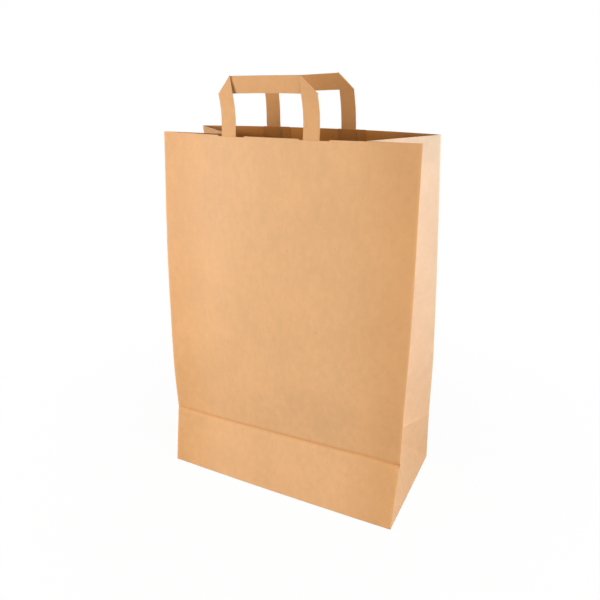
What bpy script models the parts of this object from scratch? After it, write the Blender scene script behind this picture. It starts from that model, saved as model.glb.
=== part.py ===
"""Paper carrier bag with side gussets, a folded block bottom and two flat paper handles.

Metres, +Z up. The origin is the middle of the base. X runs along the width and the front panel
faces -Y. "Up the paper" means the length along the sheet from the base, which stays the same
however the sheet leans. "Lean" is how far a standing edge has come in from above its base corner.
"""
import math

import bmesh
import bpy

# Driving dimensions of the bag
WIDTH = 0.318
DEPTH = 0.160
PAPER_HEIGHT = 0.450
PAPER = 0.0004
CLEARANCE = 0.0003

# Driving dimensions of the handles and of the patches over their legs
STRAP_WIDTH = 0.019
STRAP = 0.0005
FOLD_GAP = 0.0006
LEG_GLUED = 0.036
PATCH_WIDTH = 0.036
PATCH_HEIGHT = 0.045
PATCH_SHIFT = 0.004
PATCH_RAMP = 0.003

# How much nearer the base than half the depth the bottom crease runs, at each standing edge; at
# the front right edge it runs a little further up
CREASE_SHORT_FRONT_LEFT = 0.0
CREASE_SHORT_FRONT_RIGHT = -0.002
CREASE_SHORT_BACK_RIGHT = 0.006
CREASE_SHORT_BACK_LEFT = 0.002

# Each standing edge's lean at the bottom crease, at three heights above it and at the rim
LEAN_HEIGHTS = (0.155, 0.225, 0.306)
LEAN_FRONT_LEFT = (0.014, 0.014, 0.017, 0.023, 0.038)
LEAN_FRONT_RIGHT = (0.023, 0.028, 0.036, 0.038, 0.037)
LEAN_BACK_RIGHT = (0.006, 0.006, 0.014, 0.026, 0.052)
LEAN_BACK_LEFT = (0.012, 0.013, 0.017, 0.025, 0.043)

# How far the middle of each panel stands out beyond its edges, at the base and at those heights
BOW_BASE = 0.0015
BOW_FRONT = (0.002, 0.007, 0.009, 0.009, 0.008)
BOW_BACK = (0.002, 0.006, 0.009, 0.011, 0.013)

# The pinch in the front right edge at the bottom crease
PINCH_DEPTH = 0.006
PINCH_BELOW_CREASE = 0.001
PINCH_HEIGHT = 0.006
PINCH_REACH = 0.008

# The foot of each gusset's middle fold: how far it sits below the crease, and how much less it
# stands in there than the paper would allow, fading within the reach
FOOT_DROP = 0.010
FOOT_TUCK = 0.006
FOOT_REACH = 0.040

# Each handle as it was glued and as it stands: its middle along X, its span over the legs, its
# height up from the rim, its lean at the top (degrees, forward), how much further its crossbar
# rolls (degrees), how far its top sways along X, how far each top corner comes in, and how much
# higher the crossbar's right end is than its middle
FRONT_HANDLE = {
    "middle": -0.0095, "span": 0.1225, "rise": 0.0625, "lean": 14, "roll": 20,
    "sway": 0.0, "narrow": 0.0, "tilt": 0.0,
}
BACK_HANDLE = {
    "middle": -0.0060, "span": 0.1190, "rise": 0.0655, "lean": 17, "roll": 4,
    "sway": 0.0024, "narrow": 0.0022, "tilt": 0.0015,
}

# How finely the sheet is divided: round the bag, up to the bottom crease and above it
PANEL_COLUMNS = 14
GUSSET_COLUMNS = 6
LOW_ROWS = GUSSET_COLUMNS
HIGH_ROWS = 18

# How finely the straps and patches are divided
STRAP_COLUMNS = 3
GLUED_ROWS = 5
FREE_ROWS = 9
FOLD_STEPS = 4
CROSSBAR_ROWS = 14
PATCH_ROWS = 6

# Steps along the paper when its height is summed, and along a handle
SUM_STEP = 0.005
HANDLE_STEPS = 16

# The crossbar takes on its roll quickly beside the folds: a low power of a half wave
ROLL_POWER = 0.7

HALF_WIDTH = WIDTH / 2
HALF_DEPTH = DEPTH / 2
FRONT, BACK = -1, 1
LEANS = {
    (FRONT, -1): LEAN_FRONT_LEFT,
    (FRONT, 1): LEAN_FRONT_RIGHT,
    (BACK, -1): LEAN_BACK_LEFT,
    (BACK, 1): LEAN_BACK_RIGHT,
}
BOWS = {FRONT: BOW_FRONT, BACK: BOW_BACK}
CREASES = {
    (FRONT, -1): HALF_DEPTH - CREASE_SHORT_FRONT_LEFT,
    (FRONT, 1): HALF_DEPTH - CREASE_SHORT_FRONT_RIGHT,
    (BACK, -1): HALF_DEPTH - CREASE_SHORT_BACK_LEFT,
    (BACK, 1): HALF_DEPTH - CREASE_SHORT_BACK_RIGHT,
}


def mix(a, b, t):
    """The value a fraction t of the way from a to b."""
    return a + (b - a) * t


def mix_points(a, b, t):
    """The point a fraction t of the way from a to b."""
    return tuple(mix(p, q, t) for p, q in zip(a, b))


def smooth(t):
    """An S-curve from 0 to 1."""
    t = min(max(t, 0.0), 1.0)
    return t * t * (3 - 2 * t)


def crease_height(side, x):
    """Length up the paper of a panel's bottom crease, at x."""
    return mix(CREASES[side, -1], CREASES[side, 1], (x + HALF_WIDTH) / WIDTH)


def up_the_paper(values, v, crease, at_base):
    """A straight run from the base to the crease, then a smooth curve through the values."""
    if v <= crease:
        return mix(at_base, values[0], v / crease)
    levels = (crease, *LEAN_HEIGHTS, PAPER_HEIGHT)
    last = len(levels) - 1
    k = 0
    while k < last - 1 and v > levels[k + 1]:
        k += 1
    slopes = [(values[i + 1] - values[i]) / (levels[i + 1] - levels[i]) for i in range(last)]
    tangents = [slopes[0]] + [(slopes[i - 1] + slopes[i]) / 2 for i in range(1, last)] + [slopes[-1]]
    span = levels[k + 1] - levels[k]
    t = (v - levels[k]) / span
    rise = values[k + 1] - values[k]
    start = tangents[k] * span
    end = tangents[k + 1] * span
    return values[k] + t * (start + t * (3 * rise - 2 * start - end + t * (start + end - 2 * rise)))


def pinch(x, v):
    """Depth of the dent in the front right edge, fading away from it."""
    height = (v - (CREASES[FRONT, 1] - PINCH_BELOW_CREASE)) / PINCH_HEIGHT
    reach = (HALF_WIDTH - x) / PINCH_REACH
    return PINCH_DEPTH * math.exp(-height * height - reach * reach)


def plain_y(side, x, v):
    """Y of the outer face of a panel without the pinch, at x and v up the paper."""
    across = (x + HALF_WIDTH) / WIDTH
    crease = crease_height(side, x)
    left, right = (up_the_paper(LEANS[side, end], v, crease, 0.0) for end in (-1, 1))
    bow = up_the_paper(BOWS[side], v, crease, BOW_BASE) * (1 - (x / HALF_WIDTH) ** 2)
    return side * (HALF_DEPTH - mix(left, right, across) + bow)


def panel_y(side, x, v):
    """Y of the outer face of the front or back panel, at x and v up the paper."""
    dent = pinch(x, v) if side == FRONT else 0.0
    return plain_y(side, x, v) - side * dent


def climb(side, x, v):
    """Height that a length of the panel reaches as it leans, the pinch left aside."""
    steps = max(1, math.ceil(v / SUM_STEP))
    z = 0.0
    y = plain_y(side, x, 0.0)
    for i in range(1, steps + 1):
        y_next = plain_y(side, x, v * i / steps)
        z += math.sqrt(max((v / steps) ** 2 - (y_next - y) ** 2, 0.0))
        y = y_next
    return z


def panel_point(side, x, v):
    """A point on the outer face of the front or back panel."""
    return (x, panel_y(side, x, v), climb(side, x, v))


def panel_inward(side, x, v, depth):
    """A point a given depth in from the outer face of a panel, square to it."""
    step = SUM_STEP
    low = panel_point(side, x, v - step)
    high = panel_point(side, x, v)
    left = panel_y(side, x - step, v)
    right = panel_y(side, x + step, v)
    slope_up = (high[1] - low[1]) / (high[2] - low[2])
    slope_along = (right - left) / (2 * step)
    size = math.sqrt(1 + slope_up ** 2 + slope_along ** 2)
    inward = (side * slope_along / size, -side / size, side * slope_up / size)
    return tuple(p + depth * n for p, n in zip(high, inward))


def gusset_fold(end):
    """The gusset's middle fold, from the bottom crease to the rim.

    Half a gusset is as wide as half the depth, so the fold stands in as far as the gap between
    the panels leaves paper over, and it climbs by its own length.
    """
    x_edge = end * HALF_WIDTH
    crease = (CREASES[FRONT, end] + CREASES[BACK, end]) / 2
    points = []
    z = crease - FOOT_DROP
    for row in range(HIGH_ROWS + 1):
        front, back = (panel_point(side, x_edge, row_length(CREASES[side, end], LOW_ROWS + row))
                       for side in (FRONT, BACK))
        y = (plain_y(FRONT, x_edge, row_length(CREASES[FRONT, end], LOW_ROWS + row)) + back[1]) / 2
        half_gap = back[1] - y
        step = (PAPER_HEIGHT - crease) / HIGH_ROWS
        drop = (front[2] + back[2]) / 2 - z - (step if row else 0.0)
        inset = math.sqrt(max(HALF_DEPTH ** 2 - half_gap ** 2 - drop ** 2, 0.0))
        inset -= FOOT_TUCK * math.exp(-row * step / FOOT_REACH)
        x = end * (HALF_WIDTH - inset)
        if points:
            sideways = (x - points[-1][0]) ** 2 + (y - points[-1][1]) ** 2
            z += math.sqrt(max(step ** 2 - sideways, 0.0))
        points.append((x, y, z))
    return points


def row_length(crease, row):
    """Length up the paper of a row of points, where the bottom crease is at the given length."""
    if row <= LOW_ROWS:
        return crease * row / LOW_ROWS
    return mix(crease, PAPER_HEIGHT, (row - LOW_ROWS) / HIGH_ROWS)


def gusset_half(edge_points, fold_points, base_middle):
    """Columns of one half gusset, from the standing edge to the middle fold.

    Below the crease it folds along the diagonal from the base corner to the foot of the middle
    fold: the part under the diagonal belongs to the sloping side triangle.
    """
    corner = edge_points[0]
    knee = edge_points[LOW_ROWS]
    foot = fold_points[0]
    columns = []
    for i in range(1, GUSSET_COLUMNS + 1):
        across = i / GUSSET_COLUMNS
        column = []
        for row in range(LOW_ROWS):
            up = row / LOW_ROWS
            if up > across:
                straight = mix_points(corner, knee, up)
                start = mix_points(corner, knee, up - across)
                bend = [(e - s) * (1 - across / up) for e, s in zip(edge_points[row], straight)]
                point = [s + (f - c) * across + b for s, f, c, b in zip(start, foot, corner, bend)]
            else:
                start = mix_points(corner, base_middle, across - up)
                point = [s + (f - c) * up for s, f, c in zip(start, foot, corner)]
            column.append(tuple(point))
        for edge, fold in zip(edge_points[LOW_ROWS:], fold_points):
            column.append(mix_points(edge, fold, across))
        columns.append(column)
    return columns


def panel_column(side, x):
    """One column of points up a panel."""
    crease = crease_height(side, x)
    return [panel_point(side, x, row_length(crease, row)) for row in range(LOW_ROWS + HIGH_ROWS + 1)]


def sheet_columns():
    """Columns of points round the bag, counter-clockwise from the front left edge, seen from above."""
    xs = [-HALF_WIDTH + WIDTH * i / PANEL_COLUMNS for i in range(PANEL_COLUMNS + 1)]
    front = [panel_column(FRONT, x) for x in xs]
    back = [panel_column(BACK, x) for x in reversed(xs)]
    columns = list(front)
    for edge_in, edge_out, end in ((front[-1], back[0], 1), (back[-1], front[0], -1)):
        fold = gusset_fold(end)
        base_middle = (end * HALF_WIDTH, 0.0, 0.0)
        entering = gusset_half(edge_in, fold, base_middle)
        leaving = gusset_half(edge_out, fold, base_middle)
        columns += entering + leaving[-2::-1]
        if end == 1:
            columns += back
    return columns


def face_pair(bm, corners, split):
    """Two triangles that meet along the diagonal from corner 0 or from corner 1."""
    a, b, c, d = corners
    if split == 0:
        bm.faces.new((a, b, c))
        bm.faces.new((a, c, d))
    else:
        bm.faces.new((a, b, d))
        bm.faces.new((b, c, d))


def bag_body():
    """The folded sheet: a gusseted tube closed by the block bottom, open at the rim."""
    bm = bmesh.new()
    grid = [[bm.verts.new(p) for p in column] for column in sheet_columns()]
    for i, here in enumerate(grid):
        there = grid[(i + 1) % len(grid)]
        split = gusset_split(i)
        for row in range(len(here) - 1):
            face_pair(bm, (here[row], there[row], there[row + 1], here[row + 1]), split)
    add_bottom(bm, grid)
    return finish_sheet("bag_body", bm, PAPER, KRAFT_SHEET)


def gusset_split(column):
    """Which diagonal splits a column's quads: in a gusset, the one that the paper folds along."""
    both_halves = 2 * GUSSET_COLUMNS
    step = column % (PANEL_COLUMNS + both_halves) - PANEL_COLUMNS
    if step < 0:
        return column % 2
    return 0 if step < GUSSET_COLUMNS else 1


def add_bottom(bm, grid):
    """The flat bottom, a grid between the feet of the columns."""
    across = PANEL_COLUMNS
    deep = 2 * GUSSET_COLUMNS
    front = [grid[i][0] for i in range(across + 1)]
    right = [grid[across + i][0] for i in range(deep + 1)]
    back = [grid[2 * across + deep - i][0] for i in range(across + 1)]
    left = [front[0]] + [grid[-i][0] for i in range(1, deep)] + [back[0]]
    rows = [front]
    for j in range(1, deep):
        row = [left[j]]
        for i in range(1, across):
            y = mix(front[i].co.y, back[i].co.y, j / deep)
            row.append(bm.verts.new((front[i].co.x, y, 0.0)))
        rows.append(row + [right[j]])
    rows.append(back)
    for j in range(deep):
        for i in range(across):
            face_pair(bm, (rows[j][i], rows[j + 1][i], rows[j + 1][i + 1], rows[j][i + 1]), 0)


def finish_sheet(name, bm, thickness, material, offset=-1.0):
    """An object from an open sheet of faces, given its thickness by a Solidify modifier."""
    mesh = bpy.data.meshes.new(name)
    bm.to_mesh(mesh)
    bm.free()
    piece = bpy.data.objects.new(name, mesh)
    bpy.context.collection.objects.link(piece)
    mesh.materials.append(material)
    wall = piece.modifiers.new("thickness", "SOLIDIFY")
    wall.thickness = thickness
    wall.offset = offset
    wall.use_even_offset = True
    wall.use_quality_normals = True
    return piece


def handle_profile(side, shape, s):
    """How far forward and up a handle has come at a length s above the rim, and its lean there."""
    rim = panel_inward(side, shape["middle"], PAPER_HEIGHT, leg_depth())
    below = panel_inward(side, shape["middle"], PAPER_HEIGHT - SUM_STEP, leg_depth())
    first = math.atan2(below[1] - rim[1], rim[2] - below[2])
    last = math.radians(shape["lean"])
    legs = shape["rise"] - STRAP_WIDTH
    forward = rise = 0.0
    for i in range(HANDLE_STEPS):
        lean = mix(first, last, smooth(s * (i + 0.5) / HANDLE_STEPS / legs))
        forward += math.sin(lean) * s / HANDLE_STEPS
        rise += math.cos(lean) * s / HANDLE_STEPS
    return forward, rise, mix(first, last, smooth(s / legs))


def leg_depth():
    """Depth of the middle of a glued leg, from the outer face of its panel."""
    return PAPER + CLEARANCE + STRAP / 2


def handle_point(side, shape, a, s, layer=0.0):
    """A point of a handle at a along X and s above the rim, a layer's depth in from the legs."""
    if s <= 0:
        return panel_inward(side, a, PAPER_HEIGHT + s, leg_depth() + layer)
    x, y, z = panel_inward(side, a, PAPER_HEIGHT, leg_depth())
    forward, rise, lean = handle_profile(side, shape, s)
    into_bag = -side * layer
    off_middle = (a - shape["middle"]) / (shape["span"] / 2)
    share = smooth(s / shape["rise"])
    x += share * (shape["sway"] - shape["narrow"] * off_middle)
    z += share * shape["tilt"] * off_middle
    return (x, y - forward + into_bag * math.cos(lean), z + rise + into_bag * math.sin(lean))


def crossbar_point(side, shape, a, c, t):
    """A point of the crossbar, c up its width, at the fraction t along it, rolled about its top."""
    x, y, z = handle_point(side, shape, a, shape["rise"], STRAP + FOLD_GAP)
    roll = shape["roll"] * math.sin(math.pi * t) ** ROLL_POWER
    lean = math.radians(shape["lean"] + roll)
    down = STRAP_WIDTH - c
    return (x, y + down * math.sin(lean), z - down * math.cos(lean))


def handle_rows(side, shape):
    """Rows of points across the strap, from the foot of its left leg to the foot of its right leg."""
    left = shape["middle"] - shape["span"] / 2
    right = shape["middle"] + shape["span"] / 2
    widths = [STRAP_WIDTH * i / STRAP_COLUMNS for i in range(STRAP_COLUMNS + 1)]
    leg_rise = shape["rise"] - STRAP_WIDTH
    layer = STRAP + FOLD_GAP
    radius = layer / 2

    def leg(corner, inward):
        rows = []
        for i in range(GLUED_ROWS):
            s = -LEG_GLUED * (1 - i / GLUED_ROWS)
            rows.append([handle_point(side, shape, corner + inward * c, s) for c in widths])
        for i in range(FREE_ROWS + 1):
            rows.append([handle_point(side, shape, corner + inward * c, (leg_rise + c) * i / FREE_ROWS)
                         for c in widths])
        return rows

    def fold(corner, inward):
        rows = []
        for k in range(1, FOLD_STEPS):
            angle = math.pi * k / FOLD_STEPS
            out = radius * math.sin(angle) / math.sqrt(2)
            depth = radius * (1 - math.cos(angle))
            rows.append([handle_point(side, shape, corner + inward * (c - out), leg_rise + c + out, depth)
                         for c in widths])
        return rows

    bar = []
    for i in range(CROSSBAR_ROWS + 1):
        t = i / CROSSBAR_ROWS
        bar.append([crossbar_point(side, shape, mix(left + c, right - c, t), c, t) for c in widths])
    left_part = leg(left, 1) + fold(left, 1)
    right_part = leg(right, -1) + fold(right, -1)
    return left_part + bar + right_part[::-1]


def sheet_of_rows(rows, flip):
    """An open sheet of triangles through rows of points."""
    bm = bmesh.new()
    grid = [[bm.verts.new(p) for p in row] for row in rows]
    for i in range(len(grid) - 1):
        for j in range(len(grid[i]) - 1):
            corners = (grid[i][j], grid[i + 1][j], grid[i + 1][j + 1], grid[i][j + 1])
            face_pair(bm, corners[::-1] if flip else corners, 0)
    return bm


def handle(name, side, shape):
    """A flat strap folded at 45 degrees at both corners, its legs glued inside a panel."""
    bm = sheet_of_rows(handle_rows(side, shape), side == BACK)
    return finish_sheet(name, bm, STRAP, KRAFT_STRAP, 0.0)


def patch(name, side, shape, leg_side):
    """The paper glued over one leg, which stands out over the leg and lies on the panel beside it."""
    leg_middle = shape["middle"] + leg_side * (shape["span"] - STRAP_WIDTH) / 2
    middle = leg_middle + side * PATCH_SHIFT
    over_leg = STRAP_WIDTH / 2 + 2 * CLEARANCE
    on_panel = PAPER + CLEARANCE
    on_leg = on_panel + STRAP + CLEARANCE
    left, right = middle - PATCH_WIDTH / 2, middle + PATCH_WIDTH / 2
    turns = [leg_middle - over_leg - PATCH_RAMP, leg_middle - over_leg,
             leg_middle + over_leg, leg_middle + over_leg + PATCH_RAMP]
    xs = [left] + [x for x in turns if left < x < right] + [right]
    rows = []
    for i in range(PATCH_ROWS + 1):
        v = PAPER_HEIGHT - PATCH_HEIGHT * (1 - i / PATCH_ROWS)
        row = []
        for x in xs:
            away = (abs(x - leg_middle) - over_leg) / PATCH_RAMP
            depth = mix(on_leg, on_panel, min(max(away, 0.0), 1.0))
            row.append(panel_inward(side, x, v, depth))
        rows.append(row)
    bm = sheet_of_rows(rows, side == BACK)
    return finish_sheet(name, bm, PAPER, KRAFT_PATCH, 1.0)


def kraft(name, colour, roughness):
    """Plain brown kraft paper."""
    material = bpy.data.materials.new(name)
    material.use_nodes = True
    shader = material.node_tree.nodes["Principled BSDF"]
    shader.inputs["Base Color"].default_value = (*colour, 1.0)
    shader.inputs["Roughness"].default_value = roughness
    shader.inputs["Metallic"].default_value = 0.0
    return material


for leftover in list(bpy.data.objects):
    bpy.data.objects.remove(leftover)

KRAFT_SHEET = kraft("kraft sheet", (0.78, 0.46, 0.21), 0.7)
KRAFT_STRAP = kraft("kraft strap", (0.72, 0.41, 0.18), 0.75)
KRAFT_PATCH = kraft("kraft patch", (0.66, 0.38, 0.17), 0.8)

bag_body()
handle("front_handle", FRONT, FRONT_HANDLE)
handle("back_handle", BACK, BACK_HANDLE)
patch("front_left_patch", FRONT, FRONT_HANDLE, -1)
patch("front_right_patch", FRONT, FRONT_HANDLE, 1)
patch("back_left_patch", BACK, BACK_HANDLE, -1)
patch("back_right_patch", BACK, BACK_HANDLE, 1)
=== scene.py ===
"""Looks of the paper carrier bag: kraft paper on a finely folded sheet, two straps and four patches.

Metres, +Z up, the origin at the middle of the base, the front panel towards -Y. "Up the paper" is a
length along the sheet from the base. "Lean" is how far a standing edge has come in from above its
base corner. "Relief" is how far the paper stands out from its plain form.
"""
import math

import bpy
import numpy as np
from mathutils import Matrix, Vector, noise
from mathutils.kdtree import KDTree


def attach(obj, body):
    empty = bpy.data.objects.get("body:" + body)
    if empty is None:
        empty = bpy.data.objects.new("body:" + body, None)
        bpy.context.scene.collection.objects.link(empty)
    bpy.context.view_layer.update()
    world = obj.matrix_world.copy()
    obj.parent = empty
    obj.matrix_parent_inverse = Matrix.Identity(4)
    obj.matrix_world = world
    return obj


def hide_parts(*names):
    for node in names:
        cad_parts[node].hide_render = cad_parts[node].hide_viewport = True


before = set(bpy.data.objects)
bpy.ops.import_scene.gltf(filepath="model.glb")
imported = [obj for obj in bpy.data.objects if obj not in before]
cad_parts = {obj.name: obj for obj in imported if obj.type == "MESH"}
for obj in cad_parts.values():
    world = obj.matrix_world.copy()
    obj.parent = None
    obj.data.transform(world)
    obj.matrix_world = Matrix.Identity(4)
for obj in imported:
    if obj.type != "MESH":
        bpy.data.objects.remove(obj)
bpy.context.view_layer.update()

# The bag's driving dimensions
WIDTH = 0.318
DEPTH = 0.160
PAPER_HEIGHT = 0.450
PAPER = 0.0004
CLEARANCE = 0.0003

# The handles and the patches over their legs
STRAP_WIDTH = 0.019
STRAP = 0.0005
FOLD_GAP = 0.0006
LEG_GLUED = 0.036
PATCH_WIDTH = 0.036
PATCH_HEIGHT = 0.045
PATCH_SHIFT = 0.004
PATCH_RAMP = 0.003

HALF_WIDTH = WIDTH / 2
HALF_DEPTH = DEPTH / 2
UPPER_HEIGHT = PAPER_HEIGHT - HALF_DEPTH
FRONT, BACK = -1, 1
LEFT, RIGHT = -1, 1

# Length up the paper of the bottom crease at each standing edge
CREASES = {
    (FRONT, LEFT): HALF_DEPTH,
    (FRONT, RIGHT): HALF_DEPTH - 0.0007,
    (BACK, RIGHT): HALF_DEPTH - 0.006,
    (BACK, LEFT): HALF_DEPTH - 0.002,
}

# How far the front crease swells up towards the right, and where it dips again to its end
CREASE_SWELL = 0.0027
DIP_FROM = 0.128

# Each standing edge's lean at the bottom crease, at three heights above it and at the rim
LEAN_HEIGHTS = (0.155, 0.225, 0.306)
LEANS = {
    (FRONT, LEFT): (0.014, 0.014, 0.017, 0.023, 0.038),
    (FRONT, RIGHT): (0.023, 0.028, 0.036, 0.038, 0.037),
    (BACK, RIGHT): (0.006, 0.006, 0.014, 0.026, 0.052),
    (BACK, LEFT): (0.012, 0.013, 0.017, 0.025, 0.043),
}

# How far the middle of each panel stands out beyond its edges, at the base and at those heights
BOW_BASE = 0.0015
BOWS = {FRONT: (0.002, 0.007, 0.009, 0.009, 0.008), BACK: (0.002, 0.006, 0.009, 0.011, 0.013)}

# The pinch in the front right edge at the bottom crease
PINCH_DEPTH = 0.0025
PINCH_BELOW_CREASE = 0.001
PINCH_HEIGHT = 0.0040
PINCH_REACH = 0.0065

# The foot of each gusset's middle fold
FOOT_DROP = 0.010
FOOT_TUCK = 0.006
FOOT_REACH = 0.040

# How much higher the rim stands at the gussets' middle folds
FOLD_RIM_RISE = 0.0045

# Each handle: its middle, span and height above the rim, its lean and its crossbar's roll in
# degrees, the sway of its top, how far its corners come in, and the rise of its right end
FRONT_HANDLE = {
    "middle": -0.0107, "span": 0.1225, "rise": 0.0625, "lean": 14, "roll": 9,
    "sway": 0.0010, "narrow": 0.0009, "tilt": 0.0003, "leg_bow": 0.0004,
}
BACK_HANDLE = {
    "middle": -0.0050, "span": 0.1210, "rise": 0.0640, "lean": 17, "roll": 4,
    "sway": 0.0032, "narrow": 0.0025, "tilt": 0.0027, "leg_bow": 0.0006,
}
HANDLES = {FRONT: FRONT_HANDLE, BACK: BACK_HANDLE}

# How finely the paper is divided, and the extra lines beside standing edges, crease and rim
PANEL_PITCH = 0.0038
ROW_PITCH = 0.0038
GUSSET_STEPS = 20
FINE_STEPS = 450
BESIDE_EDGE = (0.0, 0.0018, 0.0042)
EDGE_MARGIN = 0.0075
BESIDE_CREASE = (0.0013, 0.0030, 0.0060)
CREASE_MARGIN = 0.010
RIM_MARGIN = 0.008
LINE_GAP = 0.0010
STRAP_COLUMNS = 9
PATCH_COLUMNS = 17
PATCH_ROWS = 14

# The rounding of the folds, from which angle an edge counts as one, and from which it stays sharp
FOLD_RADIUS = 0.0006
FOLD_ANGLE = 30
SHARP_ANGLE = 52

# The front panel's rim dips in the middle and the back one's rises, more towards its right edge.
# Over each patch's width the rim is cut lower in front and a little higher at the back
FRONT_RIM_DIP = 0.0012
BACK_RIM_RISES = (0.0009, 0.0018)
NOTCHES = {FRONT: 0.0012, BACK: -0.0003}
NOTCH_SLOPE = 0.0004
NOTCH_SHIFTS = {FRONT: 0.0075, BACK: 0.0}

# How far the painted shade of the crease and of the pinch, and the colour of the worn folds, reach
CREASE_SHADE_REACH = 0.0019
PINCH_SHADE_REACH = 0.0021
PINCH_SHADE = 0.6
WEAR_REACH = 0.0013

# The painted shadow of the slit where the crossbar comes out from behind the left leg
SLIT_SHIFT = 0.0006
SLIT_SHARE = 0.15
SLIT_REACH = 0.0009

# The painted shadow on the back patches beside the right edge of each leg
LEG_SHADOW_REACH = 0.0011

# Marks of use, as (place along X, length up the paper, half length, half width, depth)
FRONT_DENTS = (
    (0.017, 0.127, 0.019, 0.0016, 0.00045),
    (-0.120, 0.170, 0.016, 0.0018, 0.00030),
    (0.075, 0.205, 0.013, 0.0016, 0.00025),
)
BAND_DENTS = (
    (-0.033, 0.044, 0.0022, 0.018, 0.00040),
    (0.006, 0.050, 0.0020, 0.013, 0.00035),
    (0.090, 0.036, 0.0020, 0.012, 0.00025),
)
DENT_SLOPE = 0.08

# The paper's slack, as (seed, length of a wave, height): long waves that begin above the crease,
# and short ones
LONG_WAVES = (3.1, 0.085, 0.0009)
SHORT_WAVES = (7.7, 0.032, 0.00028)
SLACK_REACH = 0.05

# The pressed line of the bottom crease, which wanders, and the swelling under it
CREASE_WANDER = 0.0016
CREASE_WAVE = 0.045
CREASE_GROOVE = 0.00035
GROOVE_WIDTH = 0.0024
CREASE_LIP = 0.00035
LIP_BELOW = 0.0058
LIP_WIDTH = 0.0034

# The back panel's glued seam
SEAM_X = 0.118
SEAM_STEP = 0.00035
SEAM_EDGE = 0.0010
SEAM_REACH = 0.06

# The gussets' stiff ridge at the crease and their slack, which begins above it
RIDGE = 0.0009
RIDGE_WIDTH = 0.0022
GUSSET_SEED = 5.0
GUSSET_WAVE = 0.06
GUSSET_SLACK = 0.0011
GUSSET_SLACK_REACH = 0.03

# The underside's flap: where its edge lies, its half width, how it narrows, and its steps
FLAP_EDGE = -0.012
FLAP_HALF_WIDTH = 0.150
FLAP_NARROWING = 0.9
FLAP_NARROWS_FROM = 0.060
FLAP_STEP = 0.004
BASE_ROUNDING = 0.008

# The right gusset's painted highlight, a paler colour that is strongest at the rim, and its share left at
# the base
GUSSET_HIGHLIGHT_KRAFT = (0.90, 0.69, 0.50)
GUSSET_HIGHLIGHT_AT_BASE = 0.20

# The panels' painted shade towards the standing edges, a darker browner colour: its colour, where it
# starts as a share of the half width, and how much of it each edge takes
EDGE_SHADE_KRAFT = (0.70, 0.345, 0.125)
EDGE_SHADE_FROM = 0.45
EDGE_SHADE_LEFT = 0.75
EDGE_SHADE_RIGHT = 0.65

# Painted shade in the left gusset's hollow, darker towards the rim: from which height, and how much
HOLLOW_FROM = 0.37
HOLLOW_SHADE = 0.55

# The paper's noises, as (stretch of the coordinates, size, detail, roughness), and how soft the
# edge of a fleck is
CLOUDS = ((1.0, 1.0, 0.8), 16.0, 4.0, 0.55)
MOTTLE = ((1.0, 1.0, 0.8), 130.0, 3.0, 0.6)
STREAKS = ((1.0, 1.0, 0.10), 420.0, 3.0, 0.6)
FIBRES = ((1.0, 1.0, 0.35), 1500.0, 4.0, 0.7)
RIBS = ((1.0, 1.0, 0.010), 900.0, 1.0, 0.4)
FLECKS = ((1.0, 1.0, 0.45), 520.0, 2.0, 0.5)
FLECK_EDGE = (0.68, 0.78)

# The darkest and lightest that the paper's mottling makes a colour
DARKEST = 0.86
LIGHTEST = 1.14

# The floor: its size, how far under the bag it lies, its grey to the light, its own white, and
# between which distances from the middle its shadow fades out. The world's light on the bag
FLOOR_RADIUS = 9.0
FLOOR_HEIGHT = -0.0002
FLOOR_GREY = (0.50, 0.50, 0.50)
FLOOR_GLOW = 0.96
SHADOW_REACH = (0.18, 0.60)
WORLD_FILL = 0.02

# The lamps, as (name, place, aim, width, height, watts, colour)
LAMPS = (
    ("key_left", (-0.84, -0.70, 0.40), (0.0, 0.0, 0.27), 0.5, 0.6, 10.2, (1.0, 1.0, 1.0)),
    ("front_right", (0.97, -0.82, 0.57), (0.0, 0.0, 0.27), 0.4, 0.5, 5.6, (1.0, 1.0, 1.0)),
    ("side_right", (1.08, -0.10, 0.81), (0.0, 0.0, 0.27), 0.4, 0.5, 8.2, (0.98, 1.0, 1.04)),
    ("back_fill", (-0.30, 1.20, 0.25), (0.0, 0.0, 0.22), 0.5, 0.4, 3.2, (1.0, 1.0, 1.0)),
)

# Painted shade along the crease, and a darker painted shade in the pinch, the left hollow, the slit
# beside the front strap and the line beside each back leg
CREASE_SHADE_KRAFT = (0.70, 0.30, 0.095)
PAINTED_SHADE_BROWN = (0.30, 0.135, 0.040)


def mix(a, b, t):
    """The value, or array, a fraction t of the way from a to b."""
    return a + (b - a) * t


def smooth(t):
    """An S-curve from 0 to 1."""
    t = np.clip(t, 0.0, 1.0)
    return t * t * (3 - 2 * t)


def hump(t):
    """A soft bump of height 1 about 0."""
    return np.exp(-t * t)


def crease_height(side, x):
    """Length up the paper of a panel's bottom crease, at x."""
    across = (x + HALF_WIDTH) / WIDTH
    height = mix(CREASES[side, LEFT], CREASES[side, RIGHT], across)
    if side == FRONT:
        height += CREASE_SWELL * across * (1 - smooth((x - DIP_FROM) / (HALF_WIDTH - DIP_FROM)))
    return height


def up_the_paper(values, v, crease, at_base):
    """A straight run from the base to the crease, then a smooth curve through the values."""
    levels = np.array([crease, *LEAN_HEIGHTS, PAPER_HEIGHT])
    values = np.array(values)
    slopes = np.diff(values) / np.diff(levels)
    tangents = np.concatenate([slopes[:1], (slopes[:-1] + slopes[1:]) / 2, slopes[-1:]])
    k = np.clip(np.searchsorted(levels, v) - 1, 0, len(levels) - 2)
    span = np.diff(levels)[k]
    t = (v - levels[k]) / span
    rise = np.diff(values)[k]
    start = tangents[k] * span
    end = tangents[k + 1] * span
    curve = values[k] + t * (start + t * (3 * rise - 2 * start - end + t * (start + end - 2 * rise)))
    return np.where(v <= crease, mix(at_base, values[0], v / crease), curve)


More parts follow.
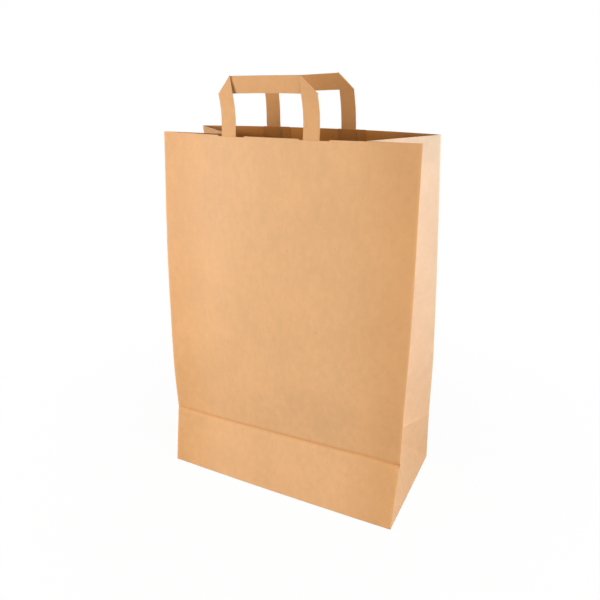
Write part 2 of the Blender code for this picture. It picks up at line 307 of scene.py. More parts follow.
def plain_y(side, x, v):
    """Y of the outer face of a panel without pinch or relief."""
    across = (x + HALF_WIDTH) / WIDTH
    crease = crease_height(side, x)
    left = up_the_paper(LEANS[side, LEFT], v, crease, 0.0)
    right = up_the_paper(LEANS[side, RIGHT], v, crease, 0.0)
    bow = up_the_paper(BOWS[side], v, crease, BOW_BASE) * (1 - (x / HALF_WIDTH) ** 2)
    return side * (HALF_DEPTH - mix(left, right, across) + bow)


def pinch(x, v):
    """Depth of the dent in the front right edge, with a sharp small fold at its heart."""
    below = v - (CREASES[FRONT, RIGHT] - PINCH_BELOW_CREASE)
    reach = (HALF_WIDTH - x) / PINCH_REACH
    return PINCH_DEPTH * hump(below / PINCH_HEIGHT) * hump(reach)


def wander(x, v, seed, size):
    """Smooth noise between about -1 and 1, with waves about size long."""
    return np.array([noise.noise(Vector((x / size, step / size, seed))) for step in v])


def relief(side, x, v):
    """How far a panel stands out from its plain form: slack waves, the groove of the crease, dents."""
    crease = crease_height(side, x)
    above = np.clip((v - crease) / SLACK_REACH, 0.0, 1.0)
    seed, wave, height = LONG_WAVES
    out = wander(x, v, seed * side, wave) * height * above
    seed, wave, height = SHORT_WAVES
    out += wander(x, v, seed * side, wave) * height
    line = v - crease - CREASE_WANDER * noise.noise(Vector((x / CREASE_WAVE, side, 0.0)))
    out -= CREASE_GROOVE * hump(line / GROOVE_WIDTH)
    out += CREASE_LIP * hump((line + LIP_BELOW) / LIP_WIDTH)
    if side == FRONT:
        for place, height, long, wide, depth in FRONT_DENTS:
            slant = DENT_SLOPE * (x - place)
            out -= depth * hump((x - place) / long) * hump((v - height - slant) / wide)
        for place, height, long, wide, depth in BAND_DENTS:
            out -= depth * hump((x - place) / long) * hump((v - height) / wide)
    else:
        out += SEAM_STEP * smooth((SEAM_X - x) / SEAM_EDGE) * hump((SEAM_X - x) / SEAM_REACH)
    return out


def panel_column(side, x, v, with_relief=True):
    """Points of a panel's outer face at x and at each length v up the paper."""
    fine = np.linspace(0.0, max(PAPER_HEIGHT, float(v[-1])), FINE_STEPS + 1)
    y_fine = plain_y(side, x, fine)
    rises = np.sqrt(np.maximum(np.diff(fine) ** 2 - np.diff(y_fine) ** 2, 0.0))
    z_fine = np.concatenate([[0.0], np.cumsum(rises)])
    y = plain_y(side, x, v)
    if side == FRONT:
        y = y + pinch(x, v)
    if with_relief:
        y = y + side * relief(side, x, v)
    return np.stack([np.full(len(v), x), y, np.interp(v, fine, z_fine)], axis=1)


def rim_drop(side, x):
    """How much lower the rim is cut beside the legs of a handle."""
    inside = [PATCH_WIDTH / 2 - abs(x - notch_middle(side, leg_side)) for leg_side in (LEFT, RIGHT)]
    drop = NOTCHES[side] * float(smooth(max(inside) / NOTCH_SLOPE))
    if side == FRONT:
        return drop + FRONT_RIM_DIP * (1 - (x / HALF_WIDTH) ** 2)
    return drop - mix(*BACK_RIM_RISES, (x + HALF_WIDTH) / WIDTH)


def leg_middle(side, leg_side):
    """X of the middle of a handle's leg where it is glued."""
    return HANDLES[side]["middle"] + leg_side * (HANDLES[side]["span"] - STRAP_WIDTH) / 2


def patch_middle(side, leg_side):
    """X of the middle of a patch, which sits a little to one side of its leg."""
    return leg_middle(side, leg_side) + side * PATCH_SHIFT


def notch_middle(side, leg_side):
    """X of the middle of the step that the rim makes beside a leg."""
    return patch_middle(side, leg_side) + NOTCH_SHIFTS[side]


def low_steps():
    """Fractions from the base to the crease, and from a standing edge to the gusset's fold.

    They are the same for both, because a gusset folds along their diagonal.
    """
    near = np.array(BESIDE_EDGE) / HALF_DEPTH
    inner = np.linspace(EDGE_MARGIN / HALF_DEPTH, 1 - EDGE_MARGIN / HALF_DEPTH, GUSSET_STEPS - 5)
    return np.concatenate([near, inner, 1 - near[::-1]])


def high_steps():
    """Fractions from the crease to the rim, closer together beside the crease and the rim."""
    inner = np.arange(CREASE_MARGIN, UPPER_HEIGHT - RIM_MARGIN, ROW_PITCH) / UPPER_HEIGHT
    near = np.array(BESIDE_CREASE) / UPPER_HEIGHT
    return np.concatenate([near, inner, 1 - near[::-1], [1.0]])


LOW = low_steps()
HIGH = high_steps()


def lengths_up(crease, rim=PAPER_HEIGHT):
    """Lengths up the paper of a column's points, where the bottom crease is at the given length."""
    return np.concatenate([crease * LOW, mix(crease, rim, HIGH)])


def gusset_fold(end):
    """Points of a gusset's middle fold from the bottom crease to the rim.

    Half a gusset is as wide as half the depth, so the fold stands in as far as the gap between
    the panels leaves paper over, and it climbs by its own length.
    """
    x_edge = end * HALF_WIDTH
    crease = (CREASES[FRONT, end] + CREASES[BACK, end]) / 2
    rows = slice(len(LOW) - 1, None)
    front = panel_column(FRONT, x_edge, lengths_up(CREASES[FRONT, end])[rows], False)
    back = panel_column(BACK, x_edge, lengths_up(CREASES[BACK, end])[rows], False)
    front_y = plain_y(FRONT, x_edge, lengths_up(CREASES[FRONT, end])[rows])
    lengths = lengths_up(crease)[rows]
    points = []
    z = crease - FOOT_DROP
    for row, length in enumerate(lengths):
        step = length - lengths[row - 1] if row else 0.0
        y = (front_y[row] + back[row][1]) / 2
        drop = (front[row][2] + back[row][2]) / 2 - z - step
        inset = math.sqrt(max(HALF_DEPTH ** 2 - (back[row][1] - y) ** 2 - drop ** 2, 0.0))
        inset -= FOOT_TUCK * math.exp(-(length - crease) / FOOT_REACH)
        x = end * (HALF_WIDTH - inset)
        if points:
            sideways = (x - points[-1][0]) ** 2 + (y - points[-1][1]) ** 2
            z += math.sqrt(max(step ** 2 - sideways, 0.0))
        points.append((x, y, z))
    points = np.array(points)
    points[:, 2] += FOLD_RIM_RISE * smooth((lengths - crease) / (PAPER_HEIGHT - crease))
    return points


def gusset_half(edge, fold, base_middle, end, side):
    """Columns of one half gusset, from the standing edge to the middle fold.

    Below the crease it folds along the diagonal from the base corner to the foot of the middle
    fold. The part under the diagonal belongs to the sloping side triangle.
    """
    corner, knee, foot = edge[0], edge[len(LOW) - 1], fold[0]
    across_edge = knee - corner
    outward = np.array([end, -side * 1.0, 0.0]) / math.sqrt(2)
    columns = []
    for across in LOW[1:]:
        column = []
        for up, edge_point in zip(LOW[:-1], edge):
            if up > across:
                bend = (edge_point - (corner + across_edge * up)) * (1 - across / up)
                point = corner + across_edge * (up - across) + (foot - corner) * across + bend
            else:
                point = mix(corner, base_middle, across - up) + (foot - corner) * up
            column.append(point)
        upper = mix(edge[len(LOW) - 1:], fold, across)
        length = np.concatenate([[0.0], HIGH * UPPER_HEIGHT])
        belly = math.sin(math.pi * across)
        ridge = RIDGE * hump(length / RIDGE_WIDTH)
        slack = wander(across * HALF_DEPTH + side, length, GUSSET_SEED * end, GUSSET_WAVE)
        slack = slack * GUSSET_SLACK * smooth(length / GUSSET_SLACK_REACH)
        upper = upper + outward * (belly * (ridge + slack))[:, None]
        columns.append(np.concatenate([np.array(column), upper]))
    return columns


def sheet_columns():
    """Columns of points round the bag: the front panel, right gusset, back panel and left gusset."""
    count = round(WIDTH / PANEL_PITCH)
    xs = set(np.round(np.linspace(-HALF_WIDTH, HALF_WIDTH, count + 1), 6))
    panels = {}
    for side in (FRONT, BACK):
        cuts = [notch_middle(side, leg_side) + edge * PATCH_WIDTH / 2 + shift * NOTCH_SLOPE
                for leg_side in (LEFT, RIGHT) for edge in (-1, 1) for shift in (-1.0, 0.0, 1.0)]
        cuts += [SEAM_X - 0.0012, SEAM_X] if side == BACK else []
        kept = [x for x in xs if min(abs(x - cut) for cut in cuts) > LINE_GAP]
        panels[side] = []
        for x in sorted(kept + cuts):
            lengths = lengths_up(crease_height(side, x), PAPER_HEIGHT - rim_drop(side, x))
            panels[side].append(panel_column(side, x, lengths))
    front, back = panels[FRONT], panels[BACK][::-1]
    gussets = {}
    for end, edge_in, edge_out in ((RIGHT, front[-1], back[0]), (LEFT, back[-1], front[0])):
        fold = gusset_fold(end)
        base_middle = np.array([end * HALF_WIDTH, 0.0, 0.0])
        side_in, side_out = (FRONT, BACK) if end == RIGHT else (BACK, FRONT)
        entering = gusset_half(edge_in, fold, base_middle, end, side_in)
        leaving = gusset_half(edge_out, fold, base_middle, end, side_out)
        gussets[end] = entering + leaving[-2::-1]
    return front, gussets[RIGHT], back, gussets[LEFT]


def layer_height(x, y):
    """How far the underside lies up from the floor: each glued flap is one paper thick."""
    half_width = FLAP_HALF_WIDTH - FLAP_NARROWING * max(0.0, FLAP_NARROWS_FROM - y)
    on_flap = smooth((y - FLAP_EDGE) / FLAP_STEP) * smooth((half_width - abs(x)) / FLAP_STEP)
    from_edge = min(HALF_WIDTH - abs(x), HALF_DEPTH - abs(y))
    return PAPER * (1 - float(on_flap)) * float(smooth(from_edge / BASE_ROUNDING))


def bag_body():
    """The folded sheet: a gusseted tube closed by the block bottom, open at the rim."""
    front, right, back, left = sheet_columns()
    columns = front + right + back + left
    rows = len(columns[0])
    points = [tuple(p) for column in columns for p in column]
    faces = []
    gusset_start = {len(front) - 1, len(front) + len(right) + len(back) - 1}
    diagonal = {}
    for start in gusset_start:
        for i in range(GUSSET_STEPS):
            diagonal[start + i, i] = 0
            diagonal[start + 2 * GUSSET_STEPS - 1 - i, i] = 1
    for i in range(len(columns)):
        here, there = i * rows, ((i + 1) % len(columns)) * rows
        for row in range(rows - 1):
            a, b, c, d = here + row, there + row, there + row + 1, here + row + 1
            split = diagonal.get((i, row))
            if split is None:
                faces.append((a, b, c, d))
            elif split == 0:
                faces += [(a, b, c), (a, c, d)]
            else:
                faces += [(a, b, d), (b, c, d)]
    add_bottom(points, faces, front, right, back, rows)
    piece = sheet_object("bag_sheet", points, faces, PAPER, -1.0, FOLD_RADIUS, 1)
    for vertex in piece.data.vertices:
        vertex.co.z = max(vertex.co.z, 0.0)
    mark_folds(piece, front, right, back, left)
    tint_sides(piece, front + back[1:], right[1:] + back[:1], left[1:-1])
    return piece


def mark_folds(piece, front, right, back, left):
    """Values on each vertex: painted shade along the front and back creases and in the pinch, and the wear
    of the other folds.
    """
    foot = len(LOW) - 1
    creases = [fine_line([column[foot] for column in panel]) for panel in (front, back)]
    mark(piece, "crease_shade", creases[0] + creases[1], CREASE_SHADE_REACH)
    mark(piece, "shadow_mark", right[0][foot - 1:foot + 1], PINCH_SHADE_REACH, PINCH_SHADE)
    worn = [point for panel in (front, back) for edge in (panel[0], panel[-1]) for point in fine_line(edge)]
    for gusset in (right, left):
        worn += fine_line([column[foot] for column in gusset])
    mark(piece, "fold_wear", worn, WEAR_REACH)


def fine_line(points):
    """Points about a millimetre apart along a line."""
    line = []
    for a, b in zip(points, points[1:]):
        count = max(1, round(float(np.linalg.norm(np.subtract(b, a))) / 0.001))
        line += [mix(np.array(a), np.array(b), i / count) for i in range(count)]
    return line


def search_tree(points):
    """A tree that finds the nearest of the points."""
    tree = KDTree(len(points))
    for index, point in enumerate(points):
        tree.insert(point, index)
    tree.balance()
    return tree


def mark(piece, name, points, reach, strength=1.0):
    """A value on each vertex, the strength on a line of points and fading within the reach."""
    tree = search_tree(points)
    values = piece.data.attributes.new(name, "FLOAT", "POINT")
    for vertex in piece.data.vertices:
        distance = tree.find(vertex.co)[2]
        values.data[vertex.index].value = strength * math.exp(-(distance / reach) ** 2)


def tint_sides(piece, panels, right, left):
    """Values on each vertex: painted highlight on the right gusset, painted shade towards the panels' edges
    and in the left hollow.
    """
    nets = [(point, 0) for column in panels for point in column]
    nets += [(point, RIGHT) for column in right for point in column]
    nets += [(point, LEFT) for column in left for point in column]
    tree = search_tree([point for point, _ in nets])
    names = ("gusset_highlight", "edge_shade", "hollow_shade")
    for name in names:
        piece.data.attributes.new(name, "FLOAT", "POINT")
    highlight, shaded_tone, hollow = (piece.data.attributes[name].data for name in names)
    for vertex in piece.data.vertices:
        part = nets[tree.find(vertex.co)[1]][1]
        across = vertex.co.x / HALF_WIDTH
        edge = float(smooth((abs(across) - EDGE_SHADE_FROM) / (1 - EDGE_SHADE_FROM)))
        near_rim = float(smooth((vertex.co.z - HOLLOW_FROM) / (PAPER_HEIGHT - HOLLOW_FROM)))
        highlight[vertex.index].value = (part == RIGHT) * mix(GUSSET_HIGHLIGHT_AT_BASE, 1.0, vertex.co.z / PAPER_HEIGHT)
        shaded_tone[vertex.index].value = (part == 0) * edge * (EDGE_SHADE_RIGHT if across > 0 else EDGE_SHADE_LEFT)
        hollow[vertex.index].value = (part == LEFT) * near_rim * HOLLOW_SHADE


def add_bottom(points, faces, front, right, back, rows):
    """The flat bottom, a grid between the feet of the panels and the gussets."""
    across, deep = len(front) - 1, len(right) + 1
    first_back = len(front) + len(right)
    first_left = first_back + len(back)
    front_feet = [i * rows for i in range(across + 1)]
    right_feet = [(across + j) * rows for j in range(deep + 1)]
    back_feet = [(first_back + across - i) * rows for i in range(across + 1)]
    left_feet = [(first_left + deep - 1 - j) * rows for j in range(1, deep)]
    left_feet = [front_feet[0]] + left_feet + [back_feet[0]]
    grid = [front_feet]
    for j in range(1, deep):
        share = j / deep
        line = [left_feet[j]]
        for i in range(1, across):
            low, high = points[front_feet[i]], points[back_feet[i]]
            x, y = mix(low[0], high[0], share), mix(low[1], high[1], share)
            line.append(len(points))
            points.append((x, y, layer_height(x, y)))
        grid.append(line + [right_feet[j]])
    grid.append(back_feet)
    for near, far in zip(grid, grid[1:]):
        for i in range(across):
            faces.append((near[i], far[i], far[i + 1], near[i + 1]))


def sheet_object(name, points, faces, thickness, offset, fold_radius, inner_material=0):
    """A closed sheet of paper from an open net of faces, its folds rounded and its walls given."""
    mesh = bpy.data.meshes.new(name)
    mesh.from_pydata([tuple(map(float, p)) for p in points], [], faces)
    mesh.validate()
    for _ in range(inner_material + 1):
        mesh.materials.append(None)
    piece = bpy.data.objects.new(name, mesh)
    bpy.context.scene.collection.objects.link(piece)
    if fold_radius:
        folds = piece.modifiers.new("folds", "BEVEL")
        folds.width = fold_radius
        folds.segments = 2
        folds.limit_method = "ANGLE"
        folds.angle_limit = math.radians(FOLD_ANGLE)
    wall = piece.modifiers.new("thickness", "SOLIDIFY")
    wall.material_offset = inner_material
    wall.thickness = thickness
    wall.offset = offset
    wall.use_even_offset = fold_radius > 0
    wall.use_quality_normals = fold_radius > 0
    bpy.context.view_layer.update()
    evaluated = piece.evaluated_get(bpy.context.evaluated_depsgraph_get())
    finished = bpy.data.meshes.new_from_object(evaluated)
    piece.modifiers.clear()
    piece.data = finished
    finished.shade_smooth()
    finished.set_sharp_from_angle(angle=math.radians(SHARP_ANGLE))
    return piece


def surface_point(side, x, v, depth):
    """A point a given depth in from the outer face of a panel, square to it, without its crease."""
    step = 0.004
    low, high = panel_column(side, x, np.array([v - step, v]))
    left = panel_column(side, x - step, np.array([v]))[0]
    right = panel_column(side, x + step, np.array([v]))[0]
    slope_up = (high[1] - low[1]) / (high[2] - low[2])
    slope_along = (right[1] - left[1]) / (2 * step)
    inward = np.array([side * slope_along, -side, side * slope_up])
    return high + inward * (depth / np.linalg.norm(inward))


def leg_depth():
    """Depth of the middle of a glued leg, from the outer face of its panel."""
    return PAPER + CLEARANCE + STRAP / 2


def rim_lean(side, shape):
    """The lean of a leg where it leaves the rim."""
    rim = surface_point(side, shape["middle"], PAPER_HEIGHT, leg_depth())
    below = surface_point(side, shape["middle"], PAPER_HEIGHT - 0.005, leg_depth())
    return math.atan2(below[1] - rim[1], rim[2] - below[2])


def handle_profile(shape, first, s):
    """How far forward and up a handle has come at a length s above the rim, and its lean there."""
    last = math.radians(shape["lean"])
    legs = shape["rise"] - STRAP_WIDTH
    steps = 16
    leans = mix(first, last, smooth(s * (np.arange(steps) + 0.5) / steps / legs))
    forward = float(np.sin(leans).sum()) * s / steps
    rise = float(np.cos(leans).sum()) * s / steps
    return forward, rise, float(mix(first, last, smooth(s / legs)))


def handle_point(side, shape, first, a, s, layer=0.0):
    """A point of a handle at a along X and s above the rim, a layer's depth in from the legs."""
    if s <= 0:
        return surface_point(side, a, PAPER_HEIGHT + s, leg_depth() + layer)
    x, y, z = surface_point(side, a, PAPER_HEIGHT, leg_depth())
    forward, rise, lean = handle_profile(shape, first, s)
    into_bag = -side * layer
    off_middle = (a - shape["middle"]) / (shape["span"] / 2)
    share = float(smooth(s / shape["rise"]))
    legs = shape["rise"] - STRAP_WIDTH
    x += share * (shape["sway"] - shape["narrow"] * off_middle)
    x += shape["leg_bow"] * math.sin(math.pi * min(s / legs, 1.0))
    z += share * shape["tilt"] * off_middle
    return np.array([x, y - forward + into_bag * math.cos(lean), z + rise + into_bag * math.sin(lean)])


def crossbar_point(side, shape, first, a, c, t):
    """A point of the crossbar, c up its width, at the fraction t along it, rolled about its top."""
    x, y, z = handle_point(side, shape, first, a, shape["rise"], STRAP + FOLD_GAP)
    roll = shape["roll"] * max(math.sin(math.pi * t), 0.0) ** 0.7
    lean = math.radians(shape["lean"] + roll)
    down = STRAP_WIDTH - c
    return np.array([x, y + down * math.sin(lean), z - down * math.cos(lean)])


def handle(name, side):
    """A flat strap folded at 45 degrees at both corners, its legs glued inside a panel."""
    shape = HANDLES[side]
    first = rim_lean(side, shape)
    left = shape["middle"] - shape["span"] / 2
    right = shape["middle"] + shape["span"] / 2
    widths = np.linspace(0.0, STRAP_WIDTH, STRAP_COLUMNS)
    leg_rise = shape["rise"] - STRAP_WIDTH
    radius = (STRAP + FOLD_GAP) / 2
    glued_rows, free_rows, fold_rows, bar_rows = 10, 22, 8, 110

    def leg(corner, inward):
        rows = [[handle_point(side, shape, first, corner + inward * c, -LEG_GLUED * (1 - i / glued_rows))
                 for c in widths] for i in range(glued_rows)]
        rows += [[handle_point(side, shape, first, corner + inward * c, (leg_rise + c) * i / free_rows)
                  for c in widths] for i in range(free_rows + 1)]
        for k in range(1, fold_rows):
            angle = math.pi * k / fold_rows
            out = radius * math.sin(angle) / math.sqrt(2)
            depth = radius * (1 - math.cos(angle))
            turned = [(corner + inward * (c - out), leg_rise + c + out) for c in widths]
            rows.append([handle_point(side, shape, first, a, s, depth) for a, s in turned])
        return rows

    bar = []
    for i in range(bar_rows + 1):
        t = i / bar_rows
        bar.append([crossbar_point(side, shape, first, mix(left + c, right - c, t), c, t) for c in widths])
    rows = leg(left, 1) + bar + leg(right, -1)[::-1]
    piece = strap_object(name, rows, STRAP, 0.0, side == BACK)
    # The front strap gets a painted shadow along the slit where the crossbar comes out from behind the left
    # leg
    if side == FRONT:
        slit = []
        for c in widths:
            a = left + STRAP_WIDTH + SLIT_SHIFT * (1 + c / STRAP_WIDTH)
            slit.append(crossbar_point(side, shape, first, a, c, SLIT_SHARE))
        mark(piece, "shadow_mark", fine_line(slit), SLIT_REACH)
    return piece


def strap_object(name, rows, thickness, offset, flip):
    """A sheet through rows of points."""
    width = len(rows[0])
    points = [p for row in rows for p in row]
    faces = []
    for i in range(len(rows) - 1):
        for j in range(width - 1):
            a, b = i * width + j, (i + 1) * width + j
            face = (a, b, b + 1, a + 1)
            faces.append(face[::-1] if flip else face)
    return sheet_object(name, points, faces, thickness, offset, 0.0)


def patch(name, side, leg_side):
    """The paper glued over one leg, which stands out over the leg and lies on the panel beside it."""
    leg = leg_middle(side, leg_side)
    middle = patch_middle(side, leg_side)
    over_leg = STRAP_WIDTH / 2 + 2 * CLEARANCE
    on_panel = PAPER + CLEARANCE
    on_leg = on_panel + STRAP + CLEARANCE
    left, right = middle - PATCH_WIDTH / 2, middle + PATCH_WIDTH / 2
    turns = [leg - over_leg - PATCH_RAMP, leg - over_leg, leg + over_leg, leg + over_leg + PATCH_RAMP]
    turns = [x for x in turns if left < x < right]
    plain = np.linspace(left, right, PATCH_COLUMNS)
    plain = [x for x in plain if min(abs(x - turn) for turn in turns) > LINE_GAP]
    xs = sorted(set(plain) | {left, right} | set(turns))
    rows = []
    for i in range(PATCH_ROWS + 1):
        v = mix(PAPER_HEIGHT - PATCH_HEIGHT, PAPER_HEIGHT - rim_drop(side, middle), i / PATCH_ROWS)
        row = []
        for x in xs:
            away = (abs(x - leg) - over_leg) / PATCH_RAMP
            depth = mix(on_leg, on_panel, min(max(away, 0.0), 1.0))
            row.append(surface_point(side, x, v, depth))
        rows.append(row)
    piece = strap_object(name, rows, PAPER, 1.0, side == BACK)
    # The back patches get a painted shadow line beside the right edge of the leg
    if side == BACK:
        leg_shadow = [surface_point(side, leg + over_leg, PAPER_HEIGHT - drop, on_leg)
                   for drop in (PATCH_HEIGHT, 0.0)]
        mark(piece, "shadow_mark", fine_line(leg_shadow), LEG_SHADOW_REACH)
    return piece


class Wire:
    """A shader socket that Python's operators act on, each adding its Math node."""

    def __init__(self, finish, socket):
        self.finish = finish
        self.socket = socket

    def math(self, operation, a, b):
        return self.finish.add("ShaderNodeMath", {"operation": operation}, {0: a, 1: b})

    def __add__(self, other):
        return self.math("ADD", self, other)

    def __radd__(self, other):
        return self.math("ADD", other, self)

    def __sub__(self, other):
        return self.math("SUBTRACT", self, other)

    def __rsub__(self, other):
        return self.math("SUBTRACT", other, self)

    def __mul__(self, other):
        return self.math("MULTIPLY", self, other)

    def __rmul__(self, other):
        return self.math("MULTIPLY", other, self)

    def larger(self, other):
        return self.math("MAXIMUM", self, other)


class Finish:
    """The nodes of a material, with the Principled shader that they feed, or of the world."""

    def __init__(self, holder):
        self.holder = holder
        holder.use_nodes = True
        self.tree = holder.node_tree
        self.shader = self.tree.nodes.get("Principled BSDF")

    def feed(self, socket, value):
        """A socket takes a link from a wire, or else the value itself."""
        if isinstance(value, Wire):
            self.tree.links.new(value.socket, socket)
        else:
            socket.default_value = value

    def add(self, kind, settings, inputs, output=0):
        """A node of a kind with its settings, its sockets fed, and the wire of one output."""
        node = self.tree.nodes.new(kind)
        for setting, value in settings.items():
            setattr(node, setting, value)
        for socket, value in inputs.items():
            self.feed(node.inputs[socket], value)
        return Wire(self, node.outputs[output])

    def place(self, scale):
        """Coordinates on the object, stretched."""
        here = self.add("ShaderNodeTexCoord", {}, {}, "Object")
        return self.add("ShaderNodeMapping", {}, {"Vector": here, "Scale": scale})

    def noise(self, scale, size, detail=3.0, roughness=0.5):
        """Noise from 0 to 1 on coordinates stretched by scale."""
        return self.add("ShaderNodeTexNoise", {}, {
            "Vector": self.place(scale), "Scale": size, "Detail": detail, "Roughness": roughness})

    def marked(self, name):
        """A value that the mesh code left on the piece, 0 where it left none."""
        return self.add("ShaderNodeAttribute", {"attribute_name": name}, {}, "Fac")

    def over(self, value, low, high):
        """A mask that rises from 0 at the low value to 1 at the high one."""
        return self.add("ShaderNodeMapRange", {"interpolation_type": "SMOOTHSTEP"}, {
            "Value": value, "From Min": low, "From Max": high, "To Min": 0.0, "To Max": 1.0})

    def blend(self, factor, a, b):
        """A colour between a and b, each a wire or a colour."""
        a, b = (end if isinstance(end, Wire) else (*end, 1.0) for end in (a, b))
        return self.add("ShaderNodeMix", {"data_type": "RGBA"}, {0: factor, 6: a, 7: b}, 2)

    def seen(self):
        """1 for what is seen straight, in gloss or through glass, 0 for light that falls on things."""
        camera = self.add("ShaderNodeLightPath", {}, {}, "Is Camera Ray")
        rays = camera.socket.node.outputs
        glossy = Wire(self, rays["Is Glossy Ray"])
        through = Wire(self, rays["Is Transmission Ray"])
        return camera.larger(glossy).larger(through)


def kraft(name, colour, roughness, depth, sheen=0.0):
    """Machine-made kraft: long fibres and faint streaks up the web, soft clouds and dark flecks."""
    finish = Finish(bpy.data.materials.new(name))
    clouds = finish.noise(*CLOUDS)
    mottle = finish.noise(*MOTTLE)
    streaks = finish.noise(*STREAKS)
    fibres = finish.noise(*FIBRES)
    ribs = finish.noise(*RIBS)
    flecks = finish.noise(*FLECKS)
    dark = finish.over(flecks, *FLECK_EDGE)
    light = finish.over(1.0 - flecks, *FLECK_EDGE)
    tone = 0.5 + (clouds - 0.5) * 0.80 + (mottle - 0.5) * 0.50 + (streaks - 0.5) * 0.20
    tone = tone + (fibres - 0.5) * 0.45 - dark * 0.55 + light * 0.35
    tone = tone + finish.marked("fold_wear") * (0.1 + fibres * 0.5)
    # Painted light in the base colour: the right gusset's painted highlight, and painted shade at the
    # panels' edges, in the left hollow, along the creases and at the pinch, the slit and beside the back
    # legs
    base = finish.blend(finish.marked("edge_shade"), colour, EDGE_SHADE_KRAFT)
    base = finish.blend(finish.marked("gusset_highlight"), base, GUSSET_HIGHLIGHT_KRAFT)
    base = finish.blend(finish.marked("hollow_shade"), base, PAINTED_SHADE_BROWN)
    base = finish.blend(finish.marked("crease_shade") * (0.25 + clouds * 0.9), base, CREASE_SHADE_KRAFT)
    base = finish.blend(finish.marked("shadow_mark") * 0.95, base, PAINTED_SHADE_BROWN)
    level = DARKEST + (LIGHTEST - DARKEST) * tone
    shaded_tone = finish.add("ShaderNodeVectorMath", {"operation": "SCALE"}, {0: base, "Scale": level})
    finish.feed(finish.shader.inputs["Base Color"], shaded_tone)
    finish.feed(finish.shader.inputs["Roughness"], roughness + (fibres - 0.5) * 0.25 + (clouds - 0.5) * 0.1)
    height = fibres * 0.5 + streaks * 0.15 + ribs * 0.12 + mottle * 0.35 + clouds * 0.4
    bumps = finish.add("ShaderNodeBump", {}, {"Strength": 0.35, "Distance": depth, "Height": height})
    finish.feed(finish.shader.inputs["Normal"], bumps)
    constants = {"Specular IOR Level": 0.35, "Sheen Weight": sheen, "Sheen Roughness": 0.35}
    for socket, value in constants.items():
        finish.feed(finish.shader.inputs[socket], value)
    return finish.holder


def dress(piece, materials, slot, *nodes):
    """The piece takes its materials, rides on the bag and stands for its solids."""
    for index, material in enumerate(materials):
        piece.data.materials[index] = material
    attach(piece, "root")
    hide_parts(*nodes)


def aim(obj, target):
    """Turns a lamp towards a point."""
    obj.rotation_euler = (Vector(target) - obj.location).to_track_quat("-Z", "Y").to_euler()


def softbox(name, place, target, width, height, power, colour):
    """A soft rectangular lamp."""
    lamp = bpy.data.lights.new(name, "AREA")
    lamp.shape = "RECTANGLE"
    lamp.size = width
    lamp.size_y = height
    lamp.energy = power
    lamp.color = colour
    obj = bpy.data.objects.new(name, lamp)
    obj.location = place
    bpy.context.scene.collection.objects.link(obj)
    aim(obj, target)


def floor_finish():
    """White where it is seen, darker only under and beside the bag, and grey to the light."""
    surface = Finish(bpy.data.materials.new("floor_white"))
    surface.tree.nodes.remove(surface.shader)
    seen = surface.seen()
    paint = surface.blend(seen, FLOOR_GREY, (1.0, 1.0, 1.0))
    matt = surface.add("ShaderNodeBsdfDiffuse", {}, {"Color": paint})
    white = surface.add("ShaderNodeEmission", {}, {"Color": (1.0, 1.0, 1.0, 1.0), "Strength": 1.0})
    here = surface.add("ShaderNodeTexCoord", {}, {}, "Object")
    reach = surface.add("ShaderNodeVectorMath", {"operation": "LENGTH"}, {0: here}, "Value")
    glow = FLOOR_GLOW + surface.over(reach, *SHADOW_REACH) * (1.0 - FLOOR_GLOW)
    both = surface.add("ShaderNodeMixShader", {}, {0: glow * seen, 1: matt, 2: white})
    surface.feed(surface.tree.nodes["Material Output"].inputs["Surface"], both)
    return surface.holder


def studio():
    """A white floor, a world that is white where it is seen and gives little light, and the lamps."""
    bpy.ops.mesh.primitive_circle_add(
        vertices=96, radius=FLOOR_RADIUS, fill_type="NGON", location=(0, 0, FLOOR_HEIGHT))
    floor = bpy.context.object
    floor.name = "floor"
    floor.data.materials.append(floor_finish())

    world = bpy.data.worlds.new("studio")
    bpy.context.scene.world = world
    sky = Finish(world)
    background = sky.tree.nodes["Background"]
    sky.feed(background.inputs["Color"], (1.0, 1.0, 1.0, 1.0))
    sky.feed(background.inputs["Strength"], WORLD_FILL + (1.0 - WORLD_FILL) * sky.seen())
    for lamp in LAMPS:
        softbox(*lamp)


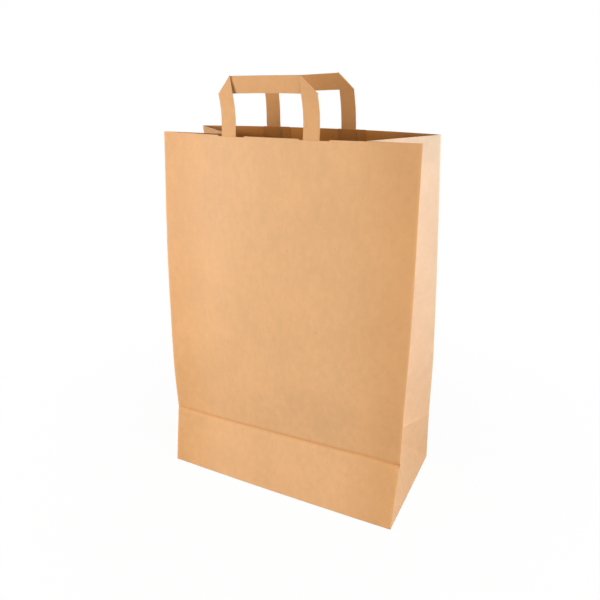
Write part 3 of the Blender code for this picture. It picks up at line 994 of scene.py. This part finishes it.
def photo_camera():
    """The camera of the photograph, found from the bag's corners in the 600 by 600 picture."""
    focal_px, picture_px, sensor_mm = 583.571, 600, 36.0
    azimuth, elevation, roll = (math.radians(angle) for angle in (27.064, 21.355, -0.751))
    forward = Vector((-math.sin(azimuth) * math.cos(elevation), math.cos(azimuth) * math.cos(elevation),
                      -math.sin(elevation)))
    level = forward.cross(Vector((0, 0, 1))).normalized()
    above = level.cross(forward)
    right = level * math.cos(roll) + above * math.sin(roll)
    up = above * math.cos(roll) - level * math.sin(roll)
    data = bpy.data.cameras.new("photo_camera")
    data.sensor_fit = "HORIZONTAL"
    data.sensor_width = sensor_mm
    data.lens = sensor_mm * focal_px / picture_px
    camera = bpy.data.objects.new("photo_camera", data)
    bpy.context.scene.collection.objects.link(camera)
    turn = Matrix((right, up, -forward)).transposed().to_4x4()
    camera.matrix_world = Matrix.Translation((0.31593, -0.61751, 0.51230)) @ turn
    bpy.context.scene.camera = camera


photo_camera()
studio()
bpy.context.scene.view_settings.view_transform = "Standard"

SHEET = kraft("kraft_sheet_paper", (0.815, 0.455, 0.207), 0.62, 0.00022, 0.12)
# The inside paper is a deeper brown: painted shade on the bag's inner faces
SHADED_INSIDE = kraft("kraft_inside_painted_shade", (0.66, 0.25, 0.045), 0.66, 0.00022)
STRAP_KRAFT = kraft("kraft_strap_paper", (0.76, 0.400, 0.165), 0.66, 0.00018)
# The back strap's darker paper is painted shade
STRAP_SHADED = kraft("kraft_back_strap_painted_shade", (0.72, 0.335, 0.110), 0.66, 0.00018)
# The patches' dark paper is painted shade, as they sit in the bag's shadow
SHADED_PATCH_KRAFT = kraft("kraft_patch_painted_shade", (0.54, 0.20, 0.035), 0.70, 0.00018)

dress(bag_body(), [SHEET, SHADED_INSIDE], "kraft_sheet", "bag_body")
dress(handle("front_strap", FRONT), [STRAP_KRAFT], "kraft_strap", "front_handle")
dress(handle("back_strap", BACK), [STRAP_SHADED], "kraft_strap", "back_handle")
for side, side_name in ((FRONT, "front"), (BACK, "back")):
    for leg_side, leg_name in ((LEFT, "left"), (RIGHT, "right")):
        node = f"{side_name}_{leg_name}_patch"
        dress(patch(f"{node}_paper", side, leg_side), [SHADED_PATCH_KRAFT], "kraft_patch", node)
